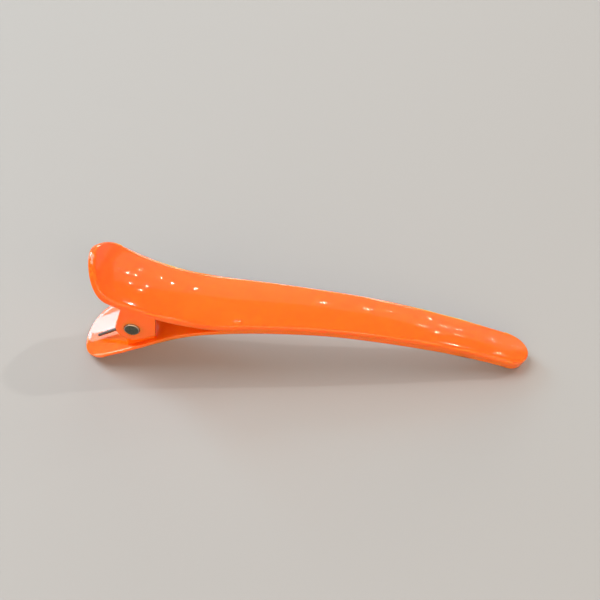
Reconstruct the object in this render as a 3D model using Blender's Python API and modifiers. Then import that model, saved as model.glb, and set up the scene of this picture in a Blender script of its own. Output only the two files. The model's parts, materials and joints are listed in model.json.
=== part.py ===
"""Duck-bill spring clip: two moulded jaws, a torsion spring and the pin they turn on.

Metres, +Z up. X runs from the handle ends to the nose tip and Y across the clip. The clip
lies closed on Z = 0, with the middle of its footprint at the origin. In the functions below
x is measured from the end of the lower handle's rim, and an empty there carries every piece.
"""

import math

import bmesh
import bpy
import numpy as np
from mathutils import Matrix, Vector

# Overall
LENGTH = 0.1127  # rim line, from the end of the lower handle to the nose tip
ARCH_X = 0.0407  # where the nose arch is highest and both handles begin to flare
ARCH_HEIGHT = 0.0150  # parting line above the table at the arch
REST_DEPTH = 0.00025  # how far the two resting flats are cut into the lower jaw

# Half widths, from the handles to the nose
HANDLE_X, HANDLE_HALF_WIDTH = 0.0107, 0.0091
WAIST_X, WAIST_HALF_WIDTH = 0.0227, 0.0085
SHOULDER_X, SHOULDER_HALF_WIDTH = 0.0347, 0.0083
NOSE_ROOT_X, NOSE_ROOT_HALF_WIDTH = 0.0467, 0.0075
NOSE_MID_X, NOSE_MID_HALF_WIDTH = 0.0667, 0.0064
NOSE_END_X, NOSE_END_HALF_WIDTH = 0.1047, 0.0049
TIP_ROUND = 0.0056  # length of the rounded nose tip
LOWER_INSET = 0.00025  # the lower jaw is this much narrower on each side

# Shells
WALL = 0.0014  # moulded thickness
RIM_WIDTH = 0.0012
RIM_ARCHING = 0.5  # lower values arch the rim over more of the handle
UPPER_SIDE = 0.00175  # height of each jaw's side below its crowned face
LOWER_SIDE = 0.0012
UPPER_ROLL = 0.0011  # radius that rolls the face into the side
LOWER_ROLL = 0.0009
CROWN_SHARE = 0.11  # crown height over half width
PARTING_GAP = 0.00025

# Upper handle: a long flare that curls up at its end
UPPER_END_X = 0.0052
UPPER_END_ROUND = 0.0054
UPPER_FLARE_RADIUS = 0.0547
CURL_X = 0.01115
CURL_RADIUS = 0.0145

# Lower handle: a flare that runs straight down to the table
LOWER_END_ROUND = 0.0074
LOWER_FLARE_RADIUS = 0.0460

# Hinge
PIN_X, PIN_HEIGHT = 0.0156, 0.0149
PIN_RADIUS = 0.00185
PIN_PROUD = 0.00035
PIN_CHAMFER = 0.0003
BORE_CLEARANCE = 0.0003
UPPER_EAR_OUTER = 0.0088  # outer face of the upper jaw's ears
EAR_THICKNESS = 0.0014
EAR_CLEARANCE = 0.0003
UPPER_EAR_RADIUS = 0.0040
UPPER_EAR_BACK = 0.0015  # where the ear's back edge leaves the handle, behind the pin
UPPER_EAR_FRONT = 0.0054
UPPER_EAR_FRONT_TOP = 0.0062
LOWER_EAR_RADIUS = 0.0031
LOWER_EAR_BACK = 0.0022
LOWER_EAR_FRONT = 0.0050
EAR_ROOT = 0.0009  # how deep an ear's root lies in the wall it grows from

# Torsion spring
WIRE_RADIUS = 0.0004
COIL_RADIUS = 0.0029  # to the middle of the wire
COIL_TURNS = 4
COIL_PITCH = 0.00145
POINTS_PER_TURN = 10
LEG_END_Y = 0.0014  # the legs slant in: the lower one ends at -LEG_END_Y
LOWER_LEG_REACH = 0.0166  # pin axis to the leg's bearing point
UPPER_LEG_REACH = 0.0128
LEG_CLEARANCE = 0.0003

# Mesh density
ROWS, COLUMNS = 46, 12
END_CROWDING = 0.93  # how far the rows crowd towards the two round ends
CIRCLE = 40
EAR_ARC_POINTS, EAR_ROOT_POINTS = 11, 5
LEAST_STEP = 0.00006  # least height left between a rim and the hollow beside it
SOLVE_ROUNDS = 40
TINY_STEP = 1e-5
WELD = 1e-6
CUT_PAST = 0.005  # how far a cutting tool runs past what it cuts

UP, DOWN = 1, -1


def smooth_through(x, places, values):
    """A smooth curve through a few places, flat beyond the first and last."""
    places, values = np.array(places), np.array(values)
    runs = np.diff(values) / np.diff(places)
    slopes = np.zeros(len(places))
    same_way = runs[:-1] * runs[1:] > 0
    slopes[1:-1][same_way] = (2 * runs[:-1] * runs[1:] / (runs[:-1] + runs[1:] + 1e-12))[same_way]
    x = np.clip(x, places[0], places[-1])
    i = np.clip(np.searchsorted(places, x) - 1, 0, len(places) - 2)
    step = places[i + 1] - places[i]
    t = (x - places[i]) / step
    return (
        values[i] * (1 + 2 * t) * (1 - t) ** 2
        + slopes[i] * step * t * (1 - t) ** 2
        + values[i + 1] * t * t * (3 - 2 * t)
        + slopes[i + 1] * step * t * t * (t - 1)
    )


def half_width(x):
    places = (HANDLE_X, WAIST_X, SHOULDER_X, NOSE_ROOT_X, NOSE_MID_X, NOSE_END_X)
    widths = (
        HANDLE_HALF_WIDTH,
        WAIST_HALF_WIDTH,
        SHOULDER_HALF_WIDTH,
        NOSE_ROOT_HALF_WIDTH,
        NOSE_MID_HALF_WIDTH,
        NOSE_END_HALF_WIDTH,
    )
    return smooth_through(x, places, widths)


def crown(x):
    return CROWN_SHARE * half_width(x)


def rim_arching(x):
    """How much of the crown the rim takes up: all of it at the handle's end, none on the nose."""
    return np.clip((ARCH_X - x) / ARCH_X, 0, 1) ** RIM_ARCHING


def under_rim(x, slope):
    """How far the lower jaw's rolled end reaches below its rim line, where the line slopes."""
    straight = (LOWER_SIDE + crown(x) - LOWER_ROLL) * math.cos(slope)
    return straight + LOWER_ROLL * (1 - math.sin(slope)) - REST_DEPTH


def nose_radius():
    """Radius of the nose arch, for which the underside of the tip just meets the table."""
    run, radius = LENGTH - ARCH_X, 1.0
    for _ in range(SOLVE_ROUNDS):
        drop = ARCH_HEIGHT - PARTING_GAP / 2 - under_rim(LENGTH, math.asin(run / radius))
        radius = (run**2 + drop**2) / (2 * drop)
    return radius


def lower_flare_angle():
    """Slope of the lower handle's tail, for which the underside of its end meets the table."""
    angle = 0.4
    for _ in range(SOLVE_ROUNDS):
        drop = ARCH_HEIGHT - PARTING_GAP / 2 - under_rim(0, angle)
        reach = math.hypot(LOWER_FLARE_RADIUS - drop, ARCH_X)
        lean = math.atan2(ARCH_X, LOWER_FLARE_RADIUS - drop)
        angle = lean - math.acos(LOWER_FLARE_RADIUS / reach)
    return angle


NOSE_RADIUS = nose_radius()
LOWER_FLARE_ANGLE = lower_flare_angle()
CURL_START = math.asin((ARCH_X - CURL_X) / UPPER_FLARE_RADIUS)


def parting(x):
    """Height of the parting line: level up to the arch, then one long arc to the tip."""
    run = np.maximum(x - ARCH_X, 0)
    return ARCH_HEIGHT - NOSE_RADIUS + np.sqrt(NOSE_RADIUS**2 - run**2)


def upper_rim(x):
    """Height of the upper jaw's rim line."""
    back = np.clip(ARCH_X - x, 0, ARCH_X - CURL_X)
    rise = UPPER_FLARE_RADIUS - np.sqrt(UPPER_FLARE_RADIUS**2 - back**2)
    turned = math.sin(CURL_START) + np.maximum(CURL_X - x, 0) / CURL_RADIUS
    curl = CURL_RADIUS * (math.cos(CURL_START) - np.sqrt(1 - np.minimum(turned, 0.99) ** 2))
    return parting(x) + PARTING_GAP / 2 + rise + curl


def lower_rim(x):
    """Height of the lower jaw's rim line."""
    arc_run = LOWER_FLARE_RADIUS * math.sin(LOWER_FLARE_ANGLE)
    back = np.clip(ARCH_X - x, 0, arc_run)
    drop = LOWER_FLARE_RADIUS - np.sqrt(LOWER_FLARE_RADIUS**2 - back**2)
    tail = np.maximum(ARCH_X - x - arc_run, 0) * math.tan(LOWER_FLARE_ANGLE)
    return parting(x) - PARTING_GAP / 2 - drop - tail


def off_line(line, x, y, lift):
    """Points at a distance from a rim line, square to it in the XZ plane."""
    slope = (line(x + TINY_STEP) - line(x - TINY_STEP)) / (2 * TINY_STEP)
    size = np.sqrt(1 + slope**2)
    return np.stack([x - lift * slope / size, y, line(x) + lift / size], axis=-1)


def plan_grid(start, start_round, end, end_round, inset, narrower):
    """x and y of a grid whose two ends are round, and its share of the half width."""
    angle = np.linspace(-math.pi / 2, math.pi / 2, COLUMNS + 1)
    across, back = np.sin(angle), 1 - np.cos(angle)
    first = start + inset + (start_round - inset) * back
    last = end - inset - (end_round - inset) * back
    t = np.linspace(0, 1, ROWS + 1)
    share = t - END_CROWDING * np.sin(2 * math.pi * t) / (2 * math.pi)
    x = first + (last - first) * share[:, None]
    y = across * (half_width(x) - narrower - inset)
    return x, y, np.broadcast_to(across, x.shape)


def edge_loop(rows, columns):
    """Row and column of each grid point round the edge, in order."""
    loop = [(0, j) for j in range(columns)]
    loop += [(i, columns) for i in range(rows)]
    loop += [(rows, j) for j in range(columns, 0, -1)]
    loop += [(i, 0) for i in range(rows, 0, -1)]
    return loop


def jaw_shell(name, line, way, side, roll, start, start_round, narrower):
    """A crowned shell over a rim line, with a rolled edge and a flat rim."""
    x, y, across = plan_grid(start, start_round, LENGTH, TIP_ROUND, 0, narrower)
    flat = off_line(line, x, y, 0)
    loop = edge_loop(ROWS, COLUMNS)
    edge = np.array([flat[i, j] for i, j in loop])
    depth = np.min(np.linalg.norm(flat[:, :, None] - edge, axis=-1), axis=-1)
    short = np.clip(roll - depth, 0, roll)
    rolled = roll - np.sqrt(roll**2 - short**2)
    arch = crown(x) * (1 - across**2)
    outer = off_line(line, x, y, way * (side + arch - rolled))
    rim_out = off_line(line, x, y, way * arch * rim_arching(x))

    x, y, across = plan_grid(start, start_round, LENGTH, TIP_ROUND, RIM_WIDTH, narrower)
    arch = crown(x) * (1 - across**2)
    rim_lift = arch * rim_arching(x)
    inner = off_line(line, x, y, way * np.maximum(side + arch - WALL, rim_lift + LEAST_STEP))
    rim_in = off_line(line, x, y, way * rim_lift)

    mesh = bmesh.new()
    skins = [[[mesh.verts.new(p) for p in row] for row in skin] for skin in (outer, inner)]
    loops = [
        [skins[0][i][j] for i, j in loop],
        [mesh.verts.new(rim_out[i, j]) for i, j in loop],
        [mesh.verts.new(rim_in[i, j]) for i, j in loop],
        [skins[1][i][j] for i, j in loop],
    ]
    for skin in skins:
        for i in range(ROWS):
            for j in range(COLUMNS):
                mesh.faces.new((skin[i][j], skin[i + 1][j], skin[i + 1][j + 1], skin[i][j + 1]))
    for one, other in zip(loops, loops[1:]):
        for k in range(len(loop)):
            following = (k + 1) % len(loop)
            mesh.faces.new((one[k], one[following], other[following], other[k]))
    bmesh.ops.recalc_face_normals(mesh, faces=mesh.faces)
    data = bpy.data.meshes.new(name)
    mesh.to_mesh(data)
    mesh.free()
    return bpy.data.objects.new(name, data)


def plate(name, outline, inner_y, outer_y):
    """A flat plate in the XZ plane, from its outline and the two Y values it lies between."""
    curve = bpy.data.curves.new(name, "CURVE")
    curve.dimensions, curve.fill_mode = "2D", "BOTH"
    curve.extrude = abs(outer_y - inner_y) / 2
    spline = curve.splines.new("POLY")
    spline.points.add(len(outline) - 1)
    for point, (x, z) in zip(spline.points, outline):
        point.co = (x, z, 0, 1)
    spline.use_cyclic_u = True
    solid = bpy.data.objects.new(name, curve)
    solid.matrix_world = Matrix.Translation((0, (inner_y + outer_y) / 2, 0)) @ Matrix.Rotation(
        math.pi / 2, 4, "X"
    )
    return as_mesh(solid)


def as_mesh(solid):
    """A curve's evaluated shape as a closed mesh object in the same place."""
    bpy.context.scene.collection.objects.link(solid)
    bpy.context.view_layer.update()
    graph = bpy.context.evaluated_depsgraph_get()
    data = bpy.data.meshes.new_from_object(solid.evaluated_get(graph))
    welded = bmesh.new()
    welded.from_mesh(data)
    bmesh.ops.remove_doubles(welded, verts=welded.verts, dist=WELD)
    bmesh.ops.recalc_face_normals(welded, faces=welded.faces)
    welded.to_mesh(data)
    welded.free()
    made = bpy.data.objects.new(solid.name + "_solid", data)
    made.matrix_world = solid.matrix_world
    bpy.data.objects.remove(solid)
    return made


def arc(centre, radius, start, end, points):
    """Points along an arc in the XZ plane, angles in degrees from +X towards +Z."""
    angles = np.radians(np.linspace(start, end, points))
    return [(centre[0] + radius * math.cos(a), centre[1] + radius * math.sin(a)) for a in angles]


def tangent_angle(point, centre, radius, side):
    """Angle in degrees at which a line from a point touches a circle, on one side of it."""
    run, rise = point[0] - centre[0], point[1] - centre[1]
    spread = math.acos(radius / math.hypot(run, rise))
    return math.degrees(math.atan2(rise, run) + side * spread)


def upper_ear_outline():
    """The ear hangs from the upper shell, round below the pin and level with the lower rim."""
    pin = (PIN_X, PIN_HEIGHT)
    lean = math.degrees(LOWER_FLARE_ANGLE)
    top = np.linspace(PIN_X + UPPER_EAR_FRONT_TOP, PIN_X - UPPER_EAR_BACK, EAR_ROOT_POINTS)
    root = [(x, float(upper_rim(x)) + EAR_ROOT) for x in top]
    back = tangent_angle(root[-1], pin, UPPER_EAR_RADIUS, 1)
    bottom = arc(pin, UPPER_EAR_RADIUS, back, 270 + lean, EAR_ARC_POINTS)
    touch, front = bottom[-1], PIN_X + UPPER_EAR_FRONT
    corner = (front, touch[1] + (front - touch[0]) * math.tan(LOWER_FLARE_ANGLE))
    return bottom + [corner] + root


def lower_ear_outline():
    """The ear stands on the lower shell and is round at its top."""
    pin = (PIN_X, PIN_HEIGHT)
    foot = np.linspace(PIN_X - LOWER_EAR_BACK, PIN_X + LOWER_EAR_FRONT, EAR_ROOT_POINTS)
    root = [(x, float(lower_rim(x)) - EAR_ROOT) for x in foot]
    front = tangent_angle(root[-1], pin, LOWER_EAR_RADIUS, 1)
    back = tangent_angle(root[0], pin, LOWER_EAR_RADIUS, -1)
    return arc(pin, LOWER_EAR_RADIUS, front, back % 360, EAR_ARC_POINTS) + root


def inner_face(line, way, side, x, y):
    """Point on a shell's inner face and the unit normal that leaves it, both in XZ."""
    share = y / (half_width(x) - RIM_WIDTH)
    lift = way * (side + crown(x) * (1 - share**2) - WALL)
    point = off_line(line, x, 0 * x, lift)
    normal = off_line(line, x, 0 * x, lift - way) - point
    return np.array([point[0], point[2]]), np.array([normal[0], normal[2]])


def leg(line, way, side, reach, turn):
    """A leg's line in XZ: the angle at which it leaves the coil, and its end on the handle."""
    low, high = 0.0, PIN_X
    for _ in range(SOLVE_ROUNDS):
        middle = (low + high) / 2
        foot, normal = inner_face(line, way, side, middle, LEG_END_Y)
        off_pin = math.hypot(foot[0] - PIN_X, foot[1] - PIN_HEIGHT)
        low, high = (middle, high) if off_pin > reach else (low, middle)
    end = foot + normal * (LEG_CLEARANCE + WIRE_RADIUS)
    off = end - (PIN_X, PIN_HEIGHT)
    touch = math.atan2(off[1], off[0]) + turn * math.acos(COIL_RADIUS / math.hypot(*off))
    return touch, end


def spring_points():
    """The middle line of the wire: lower leg, coil and upper leg."""
    first, lower_end = leg(lower_rim, DOWN, LOWER_SIDE, LOWER_LEG_REACH, 1)
    last, upper_end = leg(upper_rim, UP, UPPER_SIDE, UPPER_LEG_REACH, -1)
    sweep = (last - first) % (2 * math.pi) + 2 * math.pi * COIL_TURNS
    share = np.linspace(0, 1, round(POINTS_PER_TURN * sweep / (2 * math.pi)) + 1)
    angle = first + sweep * share
    travel = COIL_PITCH * sweep / (2 * math.pi)
    x = PIN_X + COIL_RADIUS * np.cos(angle)
    z = PIN_HEIGHT + COIL_RADIUS * np.sin(angle)
    coil = np.stack([x, travel * (share - 0.5), z], axis=1)
    lower = [lower_end[0], -LEG_END_Y, lower_end[1]]
    upper = [upper_end[0], LEG_END_Y, upper_end[1]]
    return np.vstack([lower, coil, upper])


def least_gap(points):
    """Least clear gap between turns of the wire that are not neighbours along it."""
    steps = np.linspace(0, 1, 9)[:-1, None]
    fine = np.vstack([a + (b - a) * steps for a, b in zip(points, points[1:])])
    run = np.concatenate([[0], np.cumsum(np.linalg.norm(np.diff(fine, axis=0), axis=1))])
    apart = np.linalg.norm(fine[:, None] - fine, axis=2)
    far = np.abs(run[:, None] - run) > math.pi * COIL_RADIUS
    return apart[far].min() - 2 * WIRE_RADIUS


def torsion_spring():
    curve = bpy.data.curves.new("torsion_spring", "CURVE")
    curve.dimensions, curve.bevel_depth = "3D", WIRE_RADIUS
    curve.bevel_resolution, curve.use_fill_caps = 1, True
    points = spring_points()
    spline = curve.splines.new("POLY")
    spline.points.add(len(points) - 1)
    for point, place in zip(spline.points, points):
        point.co = (*place, 1)
    print(f"least gap of the wire to itself: {least_gap(points) * 1000:.2f} mm")
    return bpy.data.objects.new("torsion_spring", curve)


def cylinder(name, radius, length):
    """A cylinder on the hinge axis, along Y."""
    mesh = bmesh.new()
    turn = Matrix.Rotation(math.pi / 2, 4, "X")
    bmesh.ops.create_cone(
        mesh, cap_ends=True, segments=CIRCLE, radius1=radius, radius2=radius, depth=length, matrix=turn
    )
    data = bpy.data.meshes.new(name)
    mesh.to_mesh(data)
    mesh.free()
    solid = bpy.data.objects.new(name, data)
    solid.location = (PIN_X, 0, PIN_HEIGHT)
    return solid


def box(name, low, high):
    mesh = bmesh.new()
    bmesh.ops.create_cube(mesh, size=1)
    size, middle = Vector(high) - Vector(low), (Vector(high) + Vector(low)) / 2
    bmesh.ops.scale(mesh, vec=size, verts=mesh.verts)
    bmesh.ops.translate(mesh, vec=middle, verts=mesh.verts)
    data = bpy.data.meshes.new(name)
    mesh.to_mesh(data)
    mesh.free()
    return bpy.data.objects.new(name, data)


def material(name, colour, roughness, metallic):
    made = bpy.data.materials.new(name)
    made.use_nodes = True
    surface = made.node_tree.nodes["Principled BSDF"]
    surface.inputs["Base Color"].default_value = (*colour, 1)
    surface.inputs["Roughness"].default_value = roughness
    surface.inputs["Metallic"].default_value = metallic
    return made


def join_with(target, tool, operation, tools):
    """Adds a Boolean with a hidden tool."""
    tools.objects.link(tool)
    tool.hide_render, tool.display_type = True, "WIRE"
    step = target.modifiers.new(tool.name, "BOOLEAN")
    step.operation, step.object, step.solver = operation, tool, "EXACT"


def finish(solid, look, parts, crease=40):
    parts.objects.link(solid)
    solid.data.materials.append(look)
    if solid.type == "MESH":
        solid.data.shade_smooth()
        solid.data.set_sharp_from_angle(angle=math.radians(crease))


def turn_about_pin(solid):
    """Moves an object's origin to the hinge axis without moving its shape."""
    axis = Vector((PIN_X, 0, PIN_HEIGHT))
    solid.data.transform(Matrix.Translation(-axis))
    solid.location = axis


def build():
    for old in list(bpy.data.objects):
        bpy.data.objects.remove(old)
    parts = bpy.data.collections.new("duck_bill_clip")
    tools = bpy.data.collections.new("cutters")
    for group in (parts, tools):
        bpy.context.scene.collection.children.link(group)
    orange = material("orange_plastic", (0.86, 0.16, 0.02), 0.18, 0)
    steel = material("steel", (0.32, 0.33, 0.31), 0.35, 1)

    upper = jaw_shell(
        "upper_jaw", upper_rim, UP, UPPER_SIDE, UPPER_ROLL, UPPER_END_X, UPPER_END_ROUND, 0
    )
    lower = jaw_shell(
        "lower_jaw", lower_rim, DOWN, LOWER_SIDE, LOWER_ROLL, 0, LOWER_END_ROUND, LOWER_INSET
    )
    finish(upper, orange, parts)
    finish(lower, orange, parts)
    turn_about_pin(upper)

    upper_inner = UPPER_EAR_OUTER - EAR_THICKNESS
    lower_outer = upper_inner - EAR_CLEARANCE
    lower_inner = lower_outer - EAR_THICKNESS
    upper_outline, lower_outline = upper_ear_outline(), lower_ear_outline()
    for place, hand in (("near", -1), ("far", 1)):
        ear = plate("upper_ear_" + place, upper_outline, hand * upper_inner, hand * UPPER_EAR_OUTER)
        join_with(upper, ear, "UNION", tools)
        ear = plate("lower_ear_" + place, lower_outline, hand * lower_inner, hand * lower_outer)
        join_with(lower, ear, "UNION", tools)
    through = 2 * (HANDLE_HALF_WIDTH + CUT_PAST)
    bore = PIN_RADIUS + BORE_CLEARANCE
    join_with(upper, cylinder("upper_bore", bore, through), "DIFFERENCE", tools)
    join_with(lower, cylinder("lower_bore", bore, through), "DIFFERENCE", tools)
    reach = HANDLE_HALF_WIDTH + CUT_PAST
    table = box("table", (-CUT_PAST, -reach, -CUT_PAST), (LENGTH + CUT_PAST, reach, 0))
    join_with(lower, table, "DIFFERENCE", tools)

    pin = cylinder("hinge_pin", PIN_RADIUS, 2 * (UPPER_EAR_OUTER + PIN_PROUD))
    finish(pin, steel, parts)
    edge = pin.modifiers.new("chamfer", "BEVEL")
    edge.width, edge.segments, edge.limit_method = PIN_CHAMFER, 2, "ANGLE"
    finish(torsion_spring(), steel, parts)

    ends = [x for jaw in (upper, lower) for x in (jaw.location.x + v.co.x for v in jaw.data.vertices)]
    clip = bpy.data.objects.new("clip", None)
    clip.location.x = -(min(ends) + max(ends)) / 2
    parts.objects.link(clip)
    for piece in (*parts.objects, *tools.objects):
        if piece is not clip:
            piece.parent = clip
    print(f"hinge axis at X {1000 * (clip.location.x + PIN_X):.3f} mm")


build()
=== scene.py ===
"""Looks of the duck-bill spring clip: moulded jaws, ground pin, spring wire, floor and light."""

import json
import math

import bmesh
import bpy
import numpy as np
from mathutils import Matrix, Vector


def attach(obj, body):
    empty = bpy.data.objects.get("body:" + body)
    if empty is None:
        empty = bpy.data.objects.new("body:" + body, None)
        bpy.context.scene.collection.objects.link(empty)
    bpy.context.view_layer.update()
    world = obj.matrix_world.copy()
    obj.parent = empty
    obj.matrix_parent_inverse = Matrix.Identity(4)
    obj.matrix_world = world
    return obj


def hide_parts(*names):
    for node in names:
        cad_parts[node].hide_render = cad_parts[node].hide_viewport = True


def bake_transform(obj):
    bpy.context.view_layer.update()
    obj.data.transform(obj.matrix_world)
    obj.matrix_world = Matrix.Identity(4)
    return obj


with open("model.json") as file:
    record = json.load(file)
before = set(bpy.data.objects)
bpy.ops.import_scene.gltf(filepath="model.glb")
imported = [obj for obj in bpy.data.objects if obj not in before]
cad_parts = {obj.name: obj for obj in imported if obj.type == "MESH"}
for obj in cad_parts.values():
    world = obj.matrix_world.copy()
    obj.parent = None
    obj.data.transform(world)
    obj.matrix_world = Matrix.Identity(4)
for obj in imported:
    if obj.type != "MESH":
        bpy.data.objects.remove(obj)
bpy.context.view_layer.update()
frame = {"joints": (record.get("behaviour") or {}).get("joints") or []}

# ---------------------------------------------------------------- sizes in metres
# The same as the solids' own, apart from UPPER_ROLL.
LENGTH = 0.1127  # rim line, from the end of the lower handle to the nose tip
ARCH_X, ARCH_HEIGHT = 0.0407, 0.0150  # the nose's highest place, where both handles begin to flare
REST_DEPTH = 0.00025  # how far the resting flats are cut into the lower jaw
WIDTH_X = (0.0107, 0.0227, 0.0347, 0.0467, 0.0667, 0.1047)
HALF_WIDTHS = (0.0091, 0.0085, 0.0083, 0.0075, 0.0064, 0.0049)
TIP_ROUND = 0.0056  # length of the rounded nose tip
LOWER_INSET = 0.00025  # the lower jaw is this much narrower on each side
WALL, RIM_WIDTH = 0.0014, 0.0012
RIM_ARCHING = 0.5  # lower values arch the rim over more of the handle
UPPER_SIDE, LOWER_SIDE = 0.00175, 0.0012  # height of each jaw's side below its crowned face
UPPER_ROLL, LOWER_ROLL = 0.0008, 0.0009  # the upper one is a little crisper than the solid's
CROWN_SHARE = 0.11  # crown height over half width
PARTING_GAP = 0.00025
UPPER_END_X, UPPER_END_ROUND = 0.0052, 0.0054
UPPER_FLARE_RADIUS = 0.0547
CURL_X, CURL_RADIUS = 0.01115, 0.0145
LOWER_END_ROUND, LOWER_FLARE_RADIUS = 0.0074, 0.0460
PIN_X, PIN_HEIGHT, PIN_RADIUS, PIN_PROUD = 0.0156, 0.0149, 0.00185, 0.00035
BORE_CLEARANCE = 0.0003
UPPER_EAR_OUTER, EAR_THICKNESS, EAR_CLEARANCE = 0.0088, 0.0014, 0.0003
UPPER_EAR_RADIUS, UPPER_EAR_BACK = 0.0040, 0.0015
UPPER_EAR_FRONT, UPPER_EAR_FRONT_TOP = 0.0054, 0.0062
LOWER_EAR_RADIUS, LOWER_EAR_BACK, LOWER_EAR_FRONT = 0.0031, 0.0022, 0.0050
EAR_ROOT = 0.0009  # how deep an ear's root lies in the wall it grows from
WIRE_RADIUS, COIL_RADIUS, COIL_TURNS, COIL_PITCH = 0.0004, 0.0029, 4, 0.00145
LEG_END_Y, LOWER_LEG_REACH, UPPER_LEG_REACH, LEG_CLEARANCE = 0.0014, 0.0166, 0.0128, 0.0003

# Finer forms that only the dressed part has
RIM_EDGE = 0.00014  # radius on the rim's outer edge, and the level strip's width at its inner one
RIM_FALL = 0.0002  # the rim leans in towards the hollow by this much
HOLLOW_CORNER = 0.0007  # run of the soft corner between the rim and the hollow
EAR_EDGE = 0.00025  # roundings along the ears
BORE_SHOWN = 0.5  # share of the solids' clearance that shows round the pin
PIN_END = (  # radius, and how far the end has fallen back there
    (0, 0), (0.0005, 0.000006), (0.0009, 0.00002), (0.0012, 0.000038), (0.0014, 0.000055),
    (0.00155, 0.00008), (0.00167, 0.00011), (0.00176, 0.00015), (0.00182, 0.0002),
    (PIN_RADIUS, 0.00026))
PAINTED_DARK_END_STARTS, PAINTED_DARK_END_FULL = 0.00014, 0.00008  # behind the pin's end: where its painted dark end, a painted dark reflection, begins
WIRE_END = ((0.0, 0.78), (0.00004, 0.90), (0.00010, 0.98))  # distance from the end, radius share
LEG_BEND = 0.2  # share of a leg over which it turns from the coil's climb to its own lean

# Mesh density and cutting tools
ROWS, COLUMNS = 170, 44
END_CROWDING = 0.93  # how far the rows crowd towards the two round ends
RIM_EDGE_ANGLES = (90, 67.5, 45, 22.5, 0)
EAR_ARC_POINTS, EAR_ROOT_POINTS, EAR_EDGE_SEGMENTS = 40, 9, 4
PIN_SEGMENTS, BORE_SEGMENTS, WIRE_SEGMENTS = 128, 96, 20
COIL_POINTS, LEG_POINTS = 221, 25
BORE_LENGTH = 0.03
TABLE_LOW, TABLE_HIGH = (-0.005, -0.02, -0.005), (0.12, 0.02, 0)  # cuts the resting flats
JAW_SMOOTH, PIN_SMOOTH, WIRE_SMOOTH = 32, 40, 50  # degrees; sharper edges stay sharp
PLATE_FLAT, PLATE_CORNER = 0.002, 1.2  # radians; below the first an edge goes, above it is rounded
WELD = 1e-6
SOLVE_ROUNDS = 40
TINY_STEP = 1e-5
NEVER_ZERO = 1e-12
STEEPEST_CURL = 0.99  # sine of the curl's greatest angle

# The functions below measure x from the end of the lower handle's rim, as the solids' own do.
OFFSET = frame["joints"][0]["pos_m"][0] - PIN_X


# ---------------------------------------------------------------- the jaws' lines
def smooth_through(x, places, values):
    """A smooth curve through a few places, flat beyond the first and last."""
    places, values = np.array(places), np.array(values)
    runs = np.diff(values) / np.diff(places)
    slopes = np.zeros(len(places))
    same = runs[:-1] * runs[1:] > 0
    slopes[1:-1][same] = (2 * runs[:-1] * runs[1:] / (runs[:-1] + runs[1:] + NEVER_ZERO))[same]
    x = np.clip(x, places[0], places[-1])
    i = np.clip(np.searchsorted(places, x) - 1, 0, len(places) - 2)
    step = places[i + 1] - places[i]
    t = (x - places[i]) / step
    return (values[i] * (1 + 2 * t) * (1 - t) ** 2 + slopes[i] * step * t * (1 - t) ** 2
            + values[i + 1] * t * t * (3 - 2 * t) + slopes[i + 1] * step * t * t * (t - 1))


def half_width(x):
    return smooth_through(x, WIDTH_X, HALF_WIDTHS)


def crown(x):
    return CROWN_SHARE * half_width(x)


def rim_arching(x):
    return np.clip((ARCH_X - x) / ARCH_X, 0, 1) ** RIM_ARCHING


def under_rim(x, slope):
    """Height of the lower rim above the table, at an end that rests with this slope."""
    straight = (LOWER_SIDE + crown(x) - LOWER_ROLL) * math.cos(slope)
    return straight + LOWER_ROLL * (1 - math.sin(slope)) - REST_DEPTH


def nose_radius():
    """Radius of the nose's arch that brings its tip down to the table."""
    run, radius = LENGTH - ARCH_X, 1.0  # the radius is a first guess
    for _ in range(SOLVE_ROUNDS):
        drop = ARCH_HEIGHT - PARTING_GAP / 2 - under_rim(LENGTH, math.asin(run / radius))
        radius = (run**2 + drop**2) / (2 * drop)
    return radius


def lower_flare_angle():
    """Angle of the lower handle's straight tail that brings its end down to the table."""
    angle = 0.4  # a first guess
    for _ in range(SOLVE_ROUNDS):
        drop = ARCH_HEIGHT - PARTING_GAP / 2 - under_rim(0, angle)
        reach = math.hypot(LOWER_FLARE_RADIUS - drop, ARCH_X)
        lean = math.atan2(ARCH_X, LOWER_FLARE_RADIUS - drop)
        angle = lean - math.acos(LOWER_FLARE_RADIUS / reach)
    return angle


NOSE_RADIUS = nose_radius()
LOWER_FLARE_ANGLE = lower_flare_angle()
CURL_START = math.asin((ARCH_X - CURL_X) / UPPER_FLARE_RADIUS)


def parting(x):
    """Height of the line where the jaws meet; level behind the arch."""
    run = np.maximum(x - ARCH_X, 0)
    return ARCH_HEIGHT - NOSE_RADIUS + np.sqrt(NOSE_RADIUS**2 - run**2)


def upper_rim(x):
    back = np.clip(ARCH_X - x, 0, ARCH_X - CURL_X)
    rise = UPPER_FLARE_RADIUS - np.sqrt(UPPER_FLARE_RADIUS**2 - back**2)
    turned = math.sin(CURL_START) + np.maximum(CURL_X - x, 0) / CURL_RADIUS
    curl = CURL_RADIUS * (math.cos(CURL_START) - np.sqrt(1 - np.minimum(turned, STEEPEST_CURL) ** 2))
    return parting(x) + PARTING_GAP / 2 + rise + curl


def lower_rim(x):
    arc_run = LOWER_FLARE_RADIUS * math.sin(LOWER_FLARE_ANGLE)
    back = np.clip(ARCH_X - x, 0, arc_run)
    drop = LOWER_FLARE_RADIUS - np.sqrt(LOWER_FLARE_RADIUS**2 - back**2)
    tail = np.maximum(ARCH_X - x - arc_run, 0) * math.tan(LOWER_FLARE_ANGLE)
    return parting(x) - PARTING_GAP / 2 - drop - tail


def off_line(line, x, y, lift):
    """Points at a distance square to a rim line."""
    slope = (line(x + TINY_STEP) - line(x - TINY_STEP)) / (2 * TINY_STEP)
    size = np.sqrt(1 + slope**2)
    return np.stack([x - lift * slope / size, y, line(x) + lift / size], axis=-1)


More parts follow.
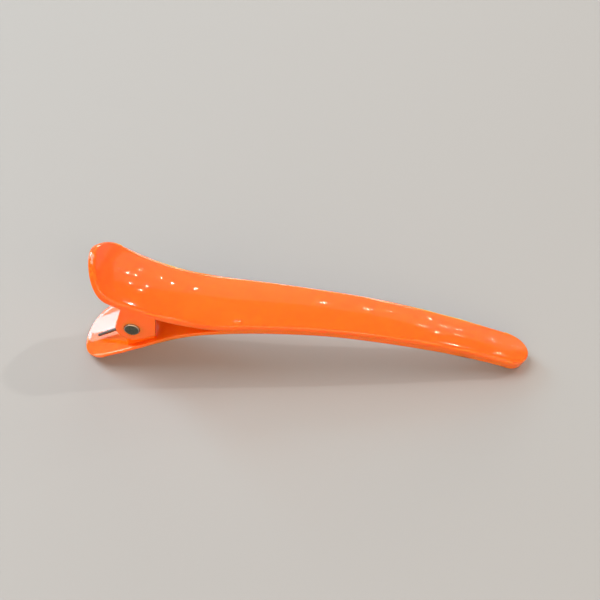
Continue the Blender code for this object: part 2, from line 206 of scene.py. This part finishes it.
# ---------------------------------------------------------------- mesh helpers
def mesh_object(name, mesh):
    data = bpy.data.meshes.new(name)
    mesh.to_mesh(data)
    mesh.free()
    made = bpy.data.objects.new(name, data)
    bpy.context.scene.collection.objects.link(made)
    return made


def evaluated(solid):
    """The object's evaluated shape as a plain mesh object under the same name."""
    bpy.context.view_layer.update()
    graph = bpy.context.evaluated_depsgraph_get()
    data = bpy.data.meshes.new_from_object(solid.evaluated_get(graph))
    name, matrix = solid.name, solid.matrix_world.copy()
    bpy.data.objects.remove(solid)
    made = bpy.data.objects.new(name, data)
    made.matrix_world = matrix
    bpy.context.scene.collection.objects.link(made)
    return made


def combine(target, tools, operation):
    """Applies Booleans with these tools, which are then removed."""
    for tool in tools:
        step = target.modifiers.new(tool.name, "BOOLEAN")
        step.operation, step.object, step.solver = operation, tool, "EXACT"
    made = evaluated(target)
    for tool in tools:
        bpy.data.objects.remove(tool)
    return made


def smooth(solid, degrees):
    solid.data.shade_smooth()
    solid.data.set_sharp_from_angle(angle=math.radians(degrees))


def bridge(mesh, loops):
    """Faces between neighbouring loops of vertices; a loop of one vertex closes to a point."""
    count = max(len(loop) for loop in loops)
    for one, other in zip(loops, loops[1:]):
        for k in range(count):
            n = (k + 1) % count
            corners = [one[k % len(one)], one[n % len(one)],
                       other[n % len(other)], other[k % len(other)]]
            mesh.faces.new(list(dict.fromkeys(corners)))


# ---------------------------------------------------------------- shells
def plan_grid(start, start_round, inset, narrower):
    """A jaw's outline from above, drawn in by an inset: x, y and the share of the half width."""
    angle = np.linspace(-math.pi / 2, math.pi / 2, COLUMNS + 1)
    across, back = np.sin(angle), 1 - np.cos(angle)
    first = start + inset + (start_round - inset) * back
    last = LENGTH - inset - (TIP_ROUND - inset) * back
    t = np.linspace(0, 1, ROWS + 1)
    share = t - END_CROWDING * np.sin(2 * math.pi * t) / (2 * math.pi)
    x = first + (last - first) * share[:, None]
    return x, across * (half_width(x) - narrower - inset), np.broadcast_to(across, x.shape)


def edge_loop():
    """Rows and columns of the grid's edge, once round."""
    loop = [(0, j) for j in range(COLUMNS)]
    loop += [(i, COLUMNS) for i in range(ROWS)]
    loop += [(ROWS, j) for j in range(COLUMNS, 0, -1)]
    loop += [(i, 0) for i in range(ROWS, 0, -1)]
    return np.array(loop)


def depth_in(skin, edge):
    """Distance of each grid point to the grid's edge."""
    out = np.empty(skin.shape[:2])
    for i, row in enumerate(skin):
        out[i] = np.linalg.norm(row[:, None] - edge, axis=-1).min(axis=-1)
    return out


def jaw_shell(name, line, way, side, roll, start, start_round, narrower):
    """A moulded shell: crowned outside, rolled edge, rounded rim, hollow with a soft corner."""
    loop = edge_loop()
    rows, cols = loop[:, 0], loop[:, 1]

    def ring(inset, height):
        x, y, across = plan_grid(start, start_round, inset, narrower)
        x, y, across = x[rows, cols], y[rows, cols], across[rows, cols]
        lift = crown(x) * (1 - across**2) * rim_arching(x)
        return off_line(line, x, y, way * (lift + height))

    x, y, across = plan_grid(start, start_round, 0, narrower)
    flat = off_line(line, x, y, 0)
    depth = depth_in(flat, flat[rows, cols])
    short = np.clip(roll - depth, 0, roll)
    arch = crown(x) * (1 - across**2)
    outer = off_line(line, x, y, way * (side + arch - roll + np.sqrt(roll**2 - short**2)))

    x, y, across = plan_grid(start, start_round, RIM_WIDTH, narrower)
    flat = off_line(line, x, y, 0)
    depth = depth_in(flat, flat[rows, cols])
    ease = np.clip(depth / HOLLOW_CORNER, 0, 1)
    ease = ease * ease * (3 - 2 * ease)
    arch = crown(x) * (1 - across**2)
    low = arch * rim_arching(x) + RIM_FALL
    high = np.maximum(side + arch - WALL, low)
    inner = off_line(line, x, y, way * (low + (high - low) * ease))

    profile = [(RIM_EDGE * (1 - math.sin(a)), RIM_EDGE * (1 - math.cos(a)))
               for a in np.radians(RIM_EDGE_ANGLES)]
    rings = [ring(inset, height) for inset, height in profile]
    rings.append(ring(RIM_WIDTH - RIM_EDGE, RIM_FALL))

    mesh = bmesh.new()
    skins = [[[mesh.verts.new(p) for p in row] for row in skin] for skin in (outer, inner)]
    loops = [[skins[0][i][j] for i, j in loop]]
    loops += [[mesh.verts.new(p) for p in points] for points in rings]
    loops += [[skins[1][i][j] for i, j in loop]]
    for skin in skins:
        for i in range(ROWS):
            for j in range(COLUMNS):
                mesh.faces.new((skin[i][j], skin[i + 1][j], skin[i + 1][j + 1], skin[i][j + 1]))
    bridge(mesh, loops)
    bmesh.ops.recalc_face_normals(mesh, faces=mesh.faces)
    return mesh_object(name, mesh)


# ---------------------------------------------------------------- ears
def arc(centre, radius, start, end):
    angles = np.radians(np.linspace(start, end, EAR_ARC_POINTS))
    return [(centre[0] + radius * math.cos(a), centre[1] + radius * math.sin(a)) for a in angles]


def plate(name, outline, inner_y, outer_y):
    """A flat plate across Y with rounded edges."""
    curve = bpy.data.curves.new(name, "CURVE")
    curve.dimensions, curve.fill_mode = "2D", "BOTH"
    curve.extrude = abs(outer_y - inner_y) / 2
    spline = curve.splines.new("POLY")
    spline.points.add(len(outline) - 1)
    for point, (x, z) in zip(spline.points, outline):
        point.co = (x, z, 0, 1)
    spline.use_cyclic_u = True
    solid = bpy.data.objects.new(name, curve)
    bpy.context.scene.collection.objects.link(solid)
    middle = Matrix.Translation((0, (inner_y + outer_y) / 2, 0))
    solid.matrix_world = middle @ Matrix.Rotation(math.pi / 2, 4, "X")
    solid = evaluated(solid)
    mesh = bmesh.new()
    mesh.from_mesh(solid.data)
    bmesh.ops.remove_doubles(mesh, verts=mesh.verts, dist=WELD)
    bmesh.ops.dissolve_limit(mesh, angle_limit=PLATE_FLAT, verts=mesh.verts, edges=mesh.edges)
    sharp = [e for e in mesh.edges
             if len(e.link_faces) == 2 and e.calc_face_angle(0) > PLATE_CORNER]
    bmesh.ops.bevel(mesh, geom=sharp, offset=EAR_EDGE, segments=EAR_EDGE_SEGMENTS, profile=0.5,
                    affect="EDGES")
    bmesh.ops.recalc_face_normals(mesh, faces=mesh.faces)
    mesh.to_mesh(solid.data)
    mesh.free()
    return solid


def tangent_angle(point, centre, radius, side):
    """Angle in degrees at which a line from a point touches a circle, on one side of it."""
    run, rise = point[0] - centre[0], point[1] - centre[1]
    return math.degrees(math.atan2(rise, run) + side * math.acos(radius / math.hypot(run, rise)))


def upper_ear_outline():
    pin = (PIN_X, PIN_HEIGHT)
    lean = math.degrees(LOWER_FLARE_ANGLE)
    top = np.linspace(PIN_X + UPPER_EAR_FRONT_TOP, PIN_X - UPPER_EAR_BACK, EAR_ROOT_POINTS)
    root = [(x, float(upper_rim(x)) + EAR_ROOT) for x in top]
    back = tangent_angle(root[-1], pin, UPPER_EAR_RADIUS, 1)
    bottom = arc(pin, UPPER_EAR_RADIUS, back, 270 + lean)
    touch, front = bottom[-1], PIN_X + UPPER_EAR_FRONT
    corner = (front, touch[1] + (front - touch[0]) * math.tan(LOWER_FLARE_ANGLE))
    return bottom + [corner] + root


def lower_ear_outline():
    pin = (PIN_X, PIN_HEIGHT)
    foot = np.linspace(PIN_X - LOWER_EAR_BACK, PIN_X + LOWER_EAR_FRONT, EAR_ROOT_POINTS)
    root = [(x, float(lower_rim(x)) - EAR_ROOT) for x in foot]
    front = tangent_angle(root[-1], pin, LOWER_EAR_RADIUS, 1)
    back = tangent_angle(root[0], pin, LOWER_EAR_RADIUS, -1)
    return arc(pin, LOWER_EAR_RADIUS, front, back % 360) + root


# ---------------------------------------------------------------- cutting tools
def cylinder(name, radius, length):
    """A cylinder along the hinge's axis."""
    mesh = bmesh.new()
    turn = Matrix.Translation((PIN_X, 0, PIN_HEIGHT)) @ Matrix.Rotation(math.pi / 2, 4, "X")
    bmesh.ops.create_cone(mesh, cap_ends=True, segments=BORE_SEGMENTS, radius1=radius,
                          radius2=radius, depth=length, matrix=turn)
    return mesh_object(name, mesh)


def block(name, low, high):
    mesh = bmesh.new()
    bmesh.ops.create_cube(mesh, size=1)
    bmesh.ops.scale(mesh, vec=Vector(high) - Vector(low), verts=mesh.verts)
    bmesh.ops.translate(mesh, vec=(Vector(high) + Vector(low)) / 2, verts=mesh.verts)
    return mesh_object(name, mesh)


# ---------------------------------------------------------------- materials
class Look:
    """A material with a Principled surface, and short ways to add its nodes."""

    def __init__(self, name):
        self.material = bpy.data.materials.new(name)
        self.material.use_nodes = True
        self.tree = self.material.node_tree
        self.surface = self.tree.nodes["Principled BSDF"]

    def node(self, kind, **inputs):
        made = self.tree.nodes.new(kind)
        for name, value in inputs.items():
            made.inputs[name.replace("_", " ")].default_value = value
        return made

    def link(self, output, target):
        self.tree.links.new(output, target)

    def set(self, **inputs):
        for name, value in inputs.items():
            self.surface.inputs[name.replace("_", " ")].default_value = value

    def space(self):
        return self.node("ShaderNodeTexCoord").outputs["Object"]

    def moved(self, space, **inputs):
        made = self.node("ShaderNodeMapping", **inputs)
        self.link(space, made.inputs["Vector"])
        return made.outputs["Vector"]

    def noise(self, space, **inputs):
        made = self.node("ShaderNodeTexNoise", **inputs)
        self.link(space, made.inputs["Vector"])
        return made.outputs["Fac"]

    def ramp(self, value, start, start_colour, end, end_colour):
        made = self.node("ShaderNodeValToRGB")
        low, high = made.color_ramp.elements
        low.position, high.position = start, end
        low.color, high.color = (*start_colour, 1), (*end_colour, 1)
        self.link(value, made.inputs["Fac"])
        return made.outputs["Color"]

    def spread(self, value, **inputs):
        made = self.node("ShaderNodeMapRange", **inputs)
        self.link(value, made.inputs["Value"])
        return made.outputs["Result"]

    def bump(self, height, **inputs):
        made = self.node("ShaderNodeBump", **inputs)
        self.link(height, made.inputs["Height"])
        self.link(made.outputs["Normal"], self.surface.inputs["Normal"])


def moulded_plastic():
    """Glossy orange moulding: faint flow marks, a fine ripple in the gloss, and light scuffs."""
    look = Look("orange_moulding")
    space = look.space()
    stretched = look.moved(space, Scale=(0.18, 1, 1))
    flow = look.noise(stretched, Scale=170.0, Detail=4.0, Roughness=0.55, Distortion=0.6)
    tint = look.ramp(flow, 0.3, (0.94, 0.135, 0.004), 0.72, (0.965, 0.152, 0.006))
    look.link(tint, look.surface.inputs["Base Color"])
    scuff = look.noise(space, Scale=900.0, Detail=3.0, Roughness=0.7)
    gloss = look.spread(scuff, From_Min=0.45, From_Max=0.8, To_Min=0.045, To_Max=0.09)
    look.link(gloss, look.surface.inputs["Roughness"])
    ripple = look.noise(stretched, Scale=260.0, Detail=2.0, Roughness=0.4)
    look.bump(ripple, Strength=0.05, Distance=0.0004)
    look.set(IOR=1.49, Subsurface_Weight=0.9, Subsurface_Radius=(1.0, 0.22, 0.06),
             Subsurface_Scale=0.0045)
    return look.material


def ground_steel():
    """Pin: its side painted light, a painted highlight; its ends painted dark, a painted dark
    reflection with random grime in it; fine turning rings.
    """
    look = Look("pin_steel")
    space = look.space()
    centred = look.moved(space, Location=(-(PIN_X + OFFSET), 0, -PIN_HEIGHT))
    rings = look.node("ShaderNodeTexWave", Scale=900.0, Distortion=1.2, Detail=2.0)
    rings.wave_type, rings.rings_direction = "RINGS", "Y"
    look.link(centred, rings.inputs["Vector"])
    grime = look.noise(space, Scale=1400.0, Detail=4.0, Roughness=0.6)
    # the end colour: a painted dark reflection, varied at random by the grime noise
    tone = look.ramp(grime, 0.3, (0.070, 0.076, 0.058), 0.75, (0.155, 0.165, 0.130))
    parts = look.node("ShaderNodeSeparateXYZ")
    look.link(space, parts.inputs["Vector"])
    out = look.node("ShaderNodeMath")
    out.operation = "ABSOLUTE"
    look.link(parts.outputs["Y"], out.inputs[0])
    end = UPPER_EAR_OUTER + PIN_PROUD
    # 0 on the side, 1 on the end face: where the painted dark end takes over from the painted
    #                                   highlight
    painted_dark_end_mask = look.spread(out.outputs["Value"], From_Min=end - PAINTED_DARK_END_STARTS, From_Max=end - PAINTED_DARK_END_FULL)
    painted_highlight_and_dark_end = look.node("ShaderNodeMix")
    painted_highlight_and_dark_end.data_type = "RGBA"
    # the side colour is a painted highlight
    painted_highlight_and_dark_end.inputs["A"].default_value = (0.44, 0.40, 0.34, 1)
    look.link(painted_dark_end_mask, painted_highlight_and_dark_end.inputs["Factor"])
    look.link(tone, painted_highlight_and_dark_end.inputs["B"])
    look.link(painted_highlight_and_dark_end.outputs["Result"], look.surface.inputs["Base Color"])
    rough = look.spread(grime, From_Min=0.3, From_Max=0.7, To_Min=0.26, To_Max=0.42)
    look.link(rough, look.surface.inputs["Roughness"])
    look.bump(rings.outputs["Fac"], Strength=0.12, Distance=0.00006)
    look.set(Metallic=1.0)
    return look.material


def drawn_wire():
    """Spring wire: dark drawn steel with fine draw marks."""
    look = Look("spring_steel")
    marks = look.noise(look.space(), Scale=2200.0, Detail=3.0, Roughness=0.6)
    tone = look.ramp(marks, 0.3, (0.15, 0.145, 0.135), 0.8, (0.30, 0.295, 0.28))
    look.link(tone, look.surface.inputs["Base Color"])
    rough = look.spread(marks, From_Min=0.3, From_Max=0.7, To_Min=0.24, To_Max=0.4)
    look.link(rough, look.surface.inputs["Roughness"])
    look.set(Metallic=1.0)
    return look.material


# ---------------------------------------------------------------- pieces
def dress(solid, name, node, material, body=None):
    """Moves a finished piece into the frame, dresses it and hands it to its body."""
    solid.data.transform(Matrix.Translation((OFFSET, 0, 0)) @ solid.matrix_world)
    solid.matrix_world = Matrix.Identity(4)
    solid.name = solid.data.name = name
    solid.data.materials.clear()
    solid.data.materials.append(material)
    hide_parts(node)
    if body:
        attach(solid, body)
    return solid


def jaws():
    plastic = moulded_plastic()
    upper_inner = UPPER_EAR_OUTER - EAR_THICKNESS
    lower_outer = upper_inner - EAR_CLEARANCE
    lower_inner = lower_outer - EAR_THICKNESS
    bore = PIN_RADIUS + BORE_CLEARANCE * BORE_SHOWN
    upper = jaw_shell("upper", upper_rim, 1, UPPER_SIDE, UPPER_ROLL, UPPER_END_X,
                      UPPER_END_ROUND, 0)
    lower = jaw_shell("lower", lower_rim, -1, LOWER_SIDE, LOWER_ROLL, 0,
                      LOWER_END_ROUND, LOWER_INSET)
    for hand in (-1, 1):
        ear = plate("ear", upper_ear_outline(), hand * upper_inner, hand * UPPER_EAR_OUTER)
        upper = combine(upper, [ear], "UNION")
        ear = plate("ear", lower_ear_outline(), hand * lower_inner, hand * lower_outer)
        lower = combine(lower, [ear], "UNION")
    upper = combine(upper, [cylinder("bore", bore, BORE_LENGTH)], "DIFFERENCE")
    table = block("table", TABLE_LOW, TABLE_HIGH)
    lower = combine(lower, [cylinder("bore", bore, BORE_LENGTH), table], "DIFFERENCE")
    for solid in (upper, lower):
        smooth(solid, JAW_SMOOTH)
    dress(upper, "upper_jaw_moulding", "upper_jaw", plastic, "upper")
    dress(lower, "lower_jaw_moulding", "lower_jaw", plastic, "lower")


def pin():
    """A turned pin with rounded, faintly domed ends."""
    end = UPPER_EAR_OUTER + PIN_PROUD
    profile = [(r, end - back) for r, back in PIN_END]
    profile += [(r, -y) for r, y in reversed(profile)]
    turn = np.linspace(0, 2 * math.pi, PIN_SEGMENTS, endpoint=False)
    mesh = bmesh.new()
    bridge(mesh, [[mesh.verts.new((PIN_X + r * math.cos(a), y, PIN_HEIGHT + r * math.sin(a)))
                   for a in (turn if r else turn[:1])] for r, y in profile])
    bmesh.ops.recalc_face_normals(mesh, faces=mesh.faces)
    solid = mesh_object("pin", mesh)
    smooth(solid, PIN_SMOOTH)
    dress(solid, "ground_pin", "hinge_pin", ground_steel(), "upper")


# ---------------------------------------------------------------- spring
def inner_face(line, way, side, x, y):
    """A point in a jaw's hollow and the direction off its face there, both in XZ."""
    share = y / (half_width(x) - RIM_WIDTH)
    lift = way * (side + crown(x) * (1 - share**2) - WALL)
    point = off_line(line, x, 0 * x, lift)
    normal = off_line(line, x, 0 * x, lift - way) - point
    return np.array([point[0], point[2]]), np.array([normal[0], normal[2]])


def leg(line, way, side, reach, turn):
    """A leg's line in XZ: the angle at which it leaves the coil, and its end on the handle."""
    low, high = 0.0, PIN_X
    for _ in range(SOLVE_ROUNDS):
        middle = (low + high) / 2
        foot, normal = inner_face(line, way, side, middle, LEG_END_Y)
        off_pin = math.hypot(foot[0] - PIN_X, foot[1] - PIN_HEIGHT)
        low, high = (middle, high) if off_pin > reach else (low, middle)
    end = foot + normal * (LEG_CLEARANCE + WIRE_RADIUS)
    off = end - (PIN_X, PIN_HEIGHT)
    return math.atan2(off[1], off[0]) + turn * math.acos(COIL_RADIUS / math.hypot(*off)), end


def leg_points(start, end, end_y, slope):
    """A leg that leaves the coil along its climb and then leans in to its end."""
    t = np.linspace(0, 1, LEG_POINTS)[1:]
    bending = t < LEG_BEND
    climb = slope * np.linalg.norm(end - start[[0, 2]])
    y = start[1] + climb * np.where(bending, t - t * t / (2 * LEG_BEND), LEG_BEND / 2)
    ease = np.where(bending, t * t / (2 * LEG_BEND), t - LEG_BEND / 2) / (1 - LEG_BEND / 2)
    y = y + ease * (end_y - start[1] - climb * LEG_BEND / 2)
    return np.stack([start[0] + (end[0] - start[0]) * t, y,
                     start[2] + (end[1] - start[2]) * t], axis=1)


def wire_path():
    """The middle line of the wire, where the coil starts and ends in it, and its travel in Y."""
    first, lower_end = leg(lower_rim, -1, LOWER_SIDE, LOWER_LEG_REACH, 1)
    last, upper_end = leg(upper_rim, 1, UPPER_SIDE, UPPER_LEG_REACH, -1)
    sweep = (last - first) % (2 * math.pi) + 2 * math.pi * COIL_TURNS
    share = np.linspace(0, 1, COIL_POINTS)
    angle = first + sweep * share
    travel = COIL_PITCH * sweep / (2 * math.pi)
    coil = np.stack([PIN_X + COIL_RADIUS * np.cos(angle), travel * (share - 0.5),
                     PIN_HEIGHT + COIL_RADIUS * np.sin(angle)], axis=1)
    climb = COIL_PITCH / (2 * math.pi * COIL_RADIUS)
    lower = leg_points(coil[0], lower_end, -LEG_END_Y, -climb)[::-1]
    upper = leg_points(coil[-1], upper_end, LEG_END_Y, climb)
    return np.vstack([lower, coil, upper]), len(lower), len(lower) + len(coil) - 1, travel


def wire_piece(name, rings, round_start=False, round_end=False):
    """A capped tube through rings of points; a free end gets a small rounded edge."""
    loops = [middle + wheel for middle, _, wheel in rings]
    if round_start:
        middle, along, wheel = rings[0]
        loops[:1] = [middle + along * back + wheel * size for back, size in WIRE_END]
    if round_end:
        middle, along, wheel = rings[-1]
        loops[-1:] = [middle - along * back + wheel * size for back, size in reversed(WIRE_END)]
    mesh = bmesh.new()
    loops = [[mesh.verts.new(p) for p in loop] for loop in loops]
    bridge(mesh, loops)
    mesh.faces.new(loops[0])
    mesh.faces.new(loops[-1])
    bmesh.ops.recalc_face_normals(mesh, faces=mesh.faces)
    solid = mesh_object(name, mesh)
    smooth(solid, WIRE_SMOOTH)
    return solid


def spring():
    """Wound coil, which stays still here as the jaws open, with a leg that stays on each handle."""
    points, coil_start, coil_end, travel = wire_path()
    tangents = np.gradient(points, axis=0)
    tangents /= np.linalg.norm(tangents, axis=1)[:, None]
    across = np.cross(tangents[0], (0, 1, 0))
    wheel = np.linspace(0, 2 * math.pi, WIRE_SEGMENTS, endpoint=False)
    rings = []
    for middle, along in zip(points, tangents):
        across = across - along * (across @ along)
        across /= np.linalg.norm(across)
        other = np.cross(along, across)
        spokes = np.outer(np.cos(wheel), across) + np.outer(np.sin(wheel), other)
        rings.append((middle, along, spokes * WIRE_RADIUS))
    steel = drawn_wire()
    lower = wire_piece("leg", rings[:coil_start + 1], round_start=True)
    coil = wire_piece("coil", rings[coil_start:coil_end + 1])
    upper = wire_piece("leg", rings[coil_end:], round_end=True)
    dress(lower, "lower_spring_leg", "torsion_spring", steel, "lower")
    dress(upper, "upper_spring_leg", "torsion_spring", steel, "upper")
    dress(coil, "spring_coil", "torsion_spring", steel)
    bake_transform(coil)


# ---------------------------------------------------------------- camera and floor
ELEVATION, YAW = 47.69, 3.706  # degrees: the photograph's viewing angle
DISTANCE, LENS, SENSOR = 0.243891, 57.0, 36.0  # metres, and millimetres for the other two
TARGET = Vector((-0.001683, 0.008964, 0.0088))
NEAREST, FARTHEST = 0.01, 20  # what the camera sees lies between these
FLOOR_HALF, FLOOR_TONE, FLOOR_ROUGHNESS = 3, (0.345, 0.34, 0.34, 1), 0.75


def camera():
    data = bpy.data.cameras.new("camera")
    data.lens, data.sensor_width, data.sensor_fit = LENS, SENSOR, "HORIZONTAL"
    data.clip_start, data.clip_end = NEAREST, FARTHEST
    made = bpy.data.objects.new("camera", data)
    bpy.context.scene.collection.objects.link(made)
    down, aside = math.radians(ELEVATION), math.radians(YAW)
    forward = Vector((-math.sin(aside) * math.cos(down), math.cos(aside) * math.cos(down),
                      -math.sin(down)))
    made.location = TARGET - forward * DISTANCE
    made.rotation_euler = forward.to_track_quat("-Z", "Y").to_euler()
    bpy.context.scene.camera = made


def floor():
    mesh = bmesh.new()
    bmesh.ops.create_grid(mesh, x_segments=1, y_segments=1, size=FLOOR_HALF)
    made = mesh_object("floor", mesh)
    look = Look("pale_floor")
    look.set(Base_Color=FLOOR_TONE, Roughness=FLOOR_ROUGHNESS)
    made.data.materials.append(look.material)


# ---------------------------------------------------------------- light
WORLD_COLOUR, WORLD_STRENGTH = (1, 0.97, 0.93, 1), 0.38
LIT = Vector((0, 0, 0.01))  # the panels face this point

# Soft panels: name, azimuth and elevation in degrees, distance, width, height, radiance, colour.
# Azimuth runs from the far side (+Y) towards the nose (+X).
PANELS = (
    ("key", -70, 60, 1.5, 1.0, 1.0, 5.0, (1, 1, 1)),
    ("right_lamp", 62, 50, 2.6, 0.06, 0.06, 1000.0, (1, 0.95, 0.88)),
    ("window", -55, 27, 2.5, 0.72, 0.64, 11.5, (0.20, 0.82, 1.0)),
    ("window_surround", -59.5, 23, 2.6, 1.2, 1.3, 3.6, (1, 0.86, 0.92)),
    ("back_wall", 0, 33, 2.8, 5.0, 1.5, 0.45, (1, 0.96, 0.90)),
    ("low_strip", 3, 10, 2.4, 1.3, 0.55, 6.5, (1, 0.95, 0.84)),
    ("front_strip", 152, 41, 2.2, 0.5, 0.35, 7.0, (1, 0.94, 0.86)),
    ("front_wall", 172, 24, 2.5, 5.0, 2.2, 2.3, (1, 0.68, 0.38)),
)

# Small round ceiling lamps, which only draw short glints in the gloss: x and y of each
CEILING, LAMP_WIDTH, LAMP_RADIANCE, LAMP_COLOUR = 2.4, 0.05, 118.0, (1, 0.93, 0.82)
LAMPS = (
    (0.49, 2.72), (1.01, 2.87), (1.34, 3.20), (1.56, 2.20), (2.05, 3.85), (2.00, 2.15),
    (2.96, 3.59), (2.85, 3.00), (2.46, 1.47), (3.63, 3.77), (2.29, 3.11), (2.03, 3.01),
    (1.68, 1.84),
)


def toward(azimuth, elevation):
    a, e = math.radians(azimuth), math.radians(elevation)
    return Vector((math.sin(a) * math.cos(e), math.cos(a) * math.cos(e), math.sin(e)))


def area_light(name, shape, energy, colour, location, away):
    """An area light that shines against the direction away."""
    data = bpy.data.lights.new(name, "AREA")
    data.shape, data.energy, data.color = shape, energy, colour
    made = bpy.data.objects.new(name, data)
    bpy.context.scene.collection.objects.link(made)
    made.location = location
    made.rotation_euler = away.to_track_quat("Z", "Y").to_euler()
    return data


def lights():
    world = bpy.data.worlds.new("studio")
    bpy.context.scene.world = world
    world.use_nodes = True
    background = world.node_tree.nodes["Background"]
    background.inputs["Color"].default_value = WORLD_COLOUR
    background.inputs["Strength"].default_value = WORLD_STRENGTH
    for name, azimuth, elevation, distance, width, height, radiance, colour in PANELS:
        direction = toward(azimuth, elevation)
        data = area_light(name, "RECTANGLE", radiance * math.pi * width * height, colour,
                          LIT + direction * distance, direction)
        data.size, data.size_y = width, height
    for number, (x, y) in enumerate(LAMPS):
        spot = Vector((x, y, CEILING))
        energy = LAMP_RADIANCE * math.pi * math.pi * LAMP_WIDTH**2 / 4
        area_light(f"lamp_{number}", "DISK", energy, LAMP_COLOUR, spot, spot).size = LAMP_WIDTH
    bpy.context.scene.view_settings.view_transform = "Standard"


jaws()
pin()
spring()
camera()
floor()
lights()
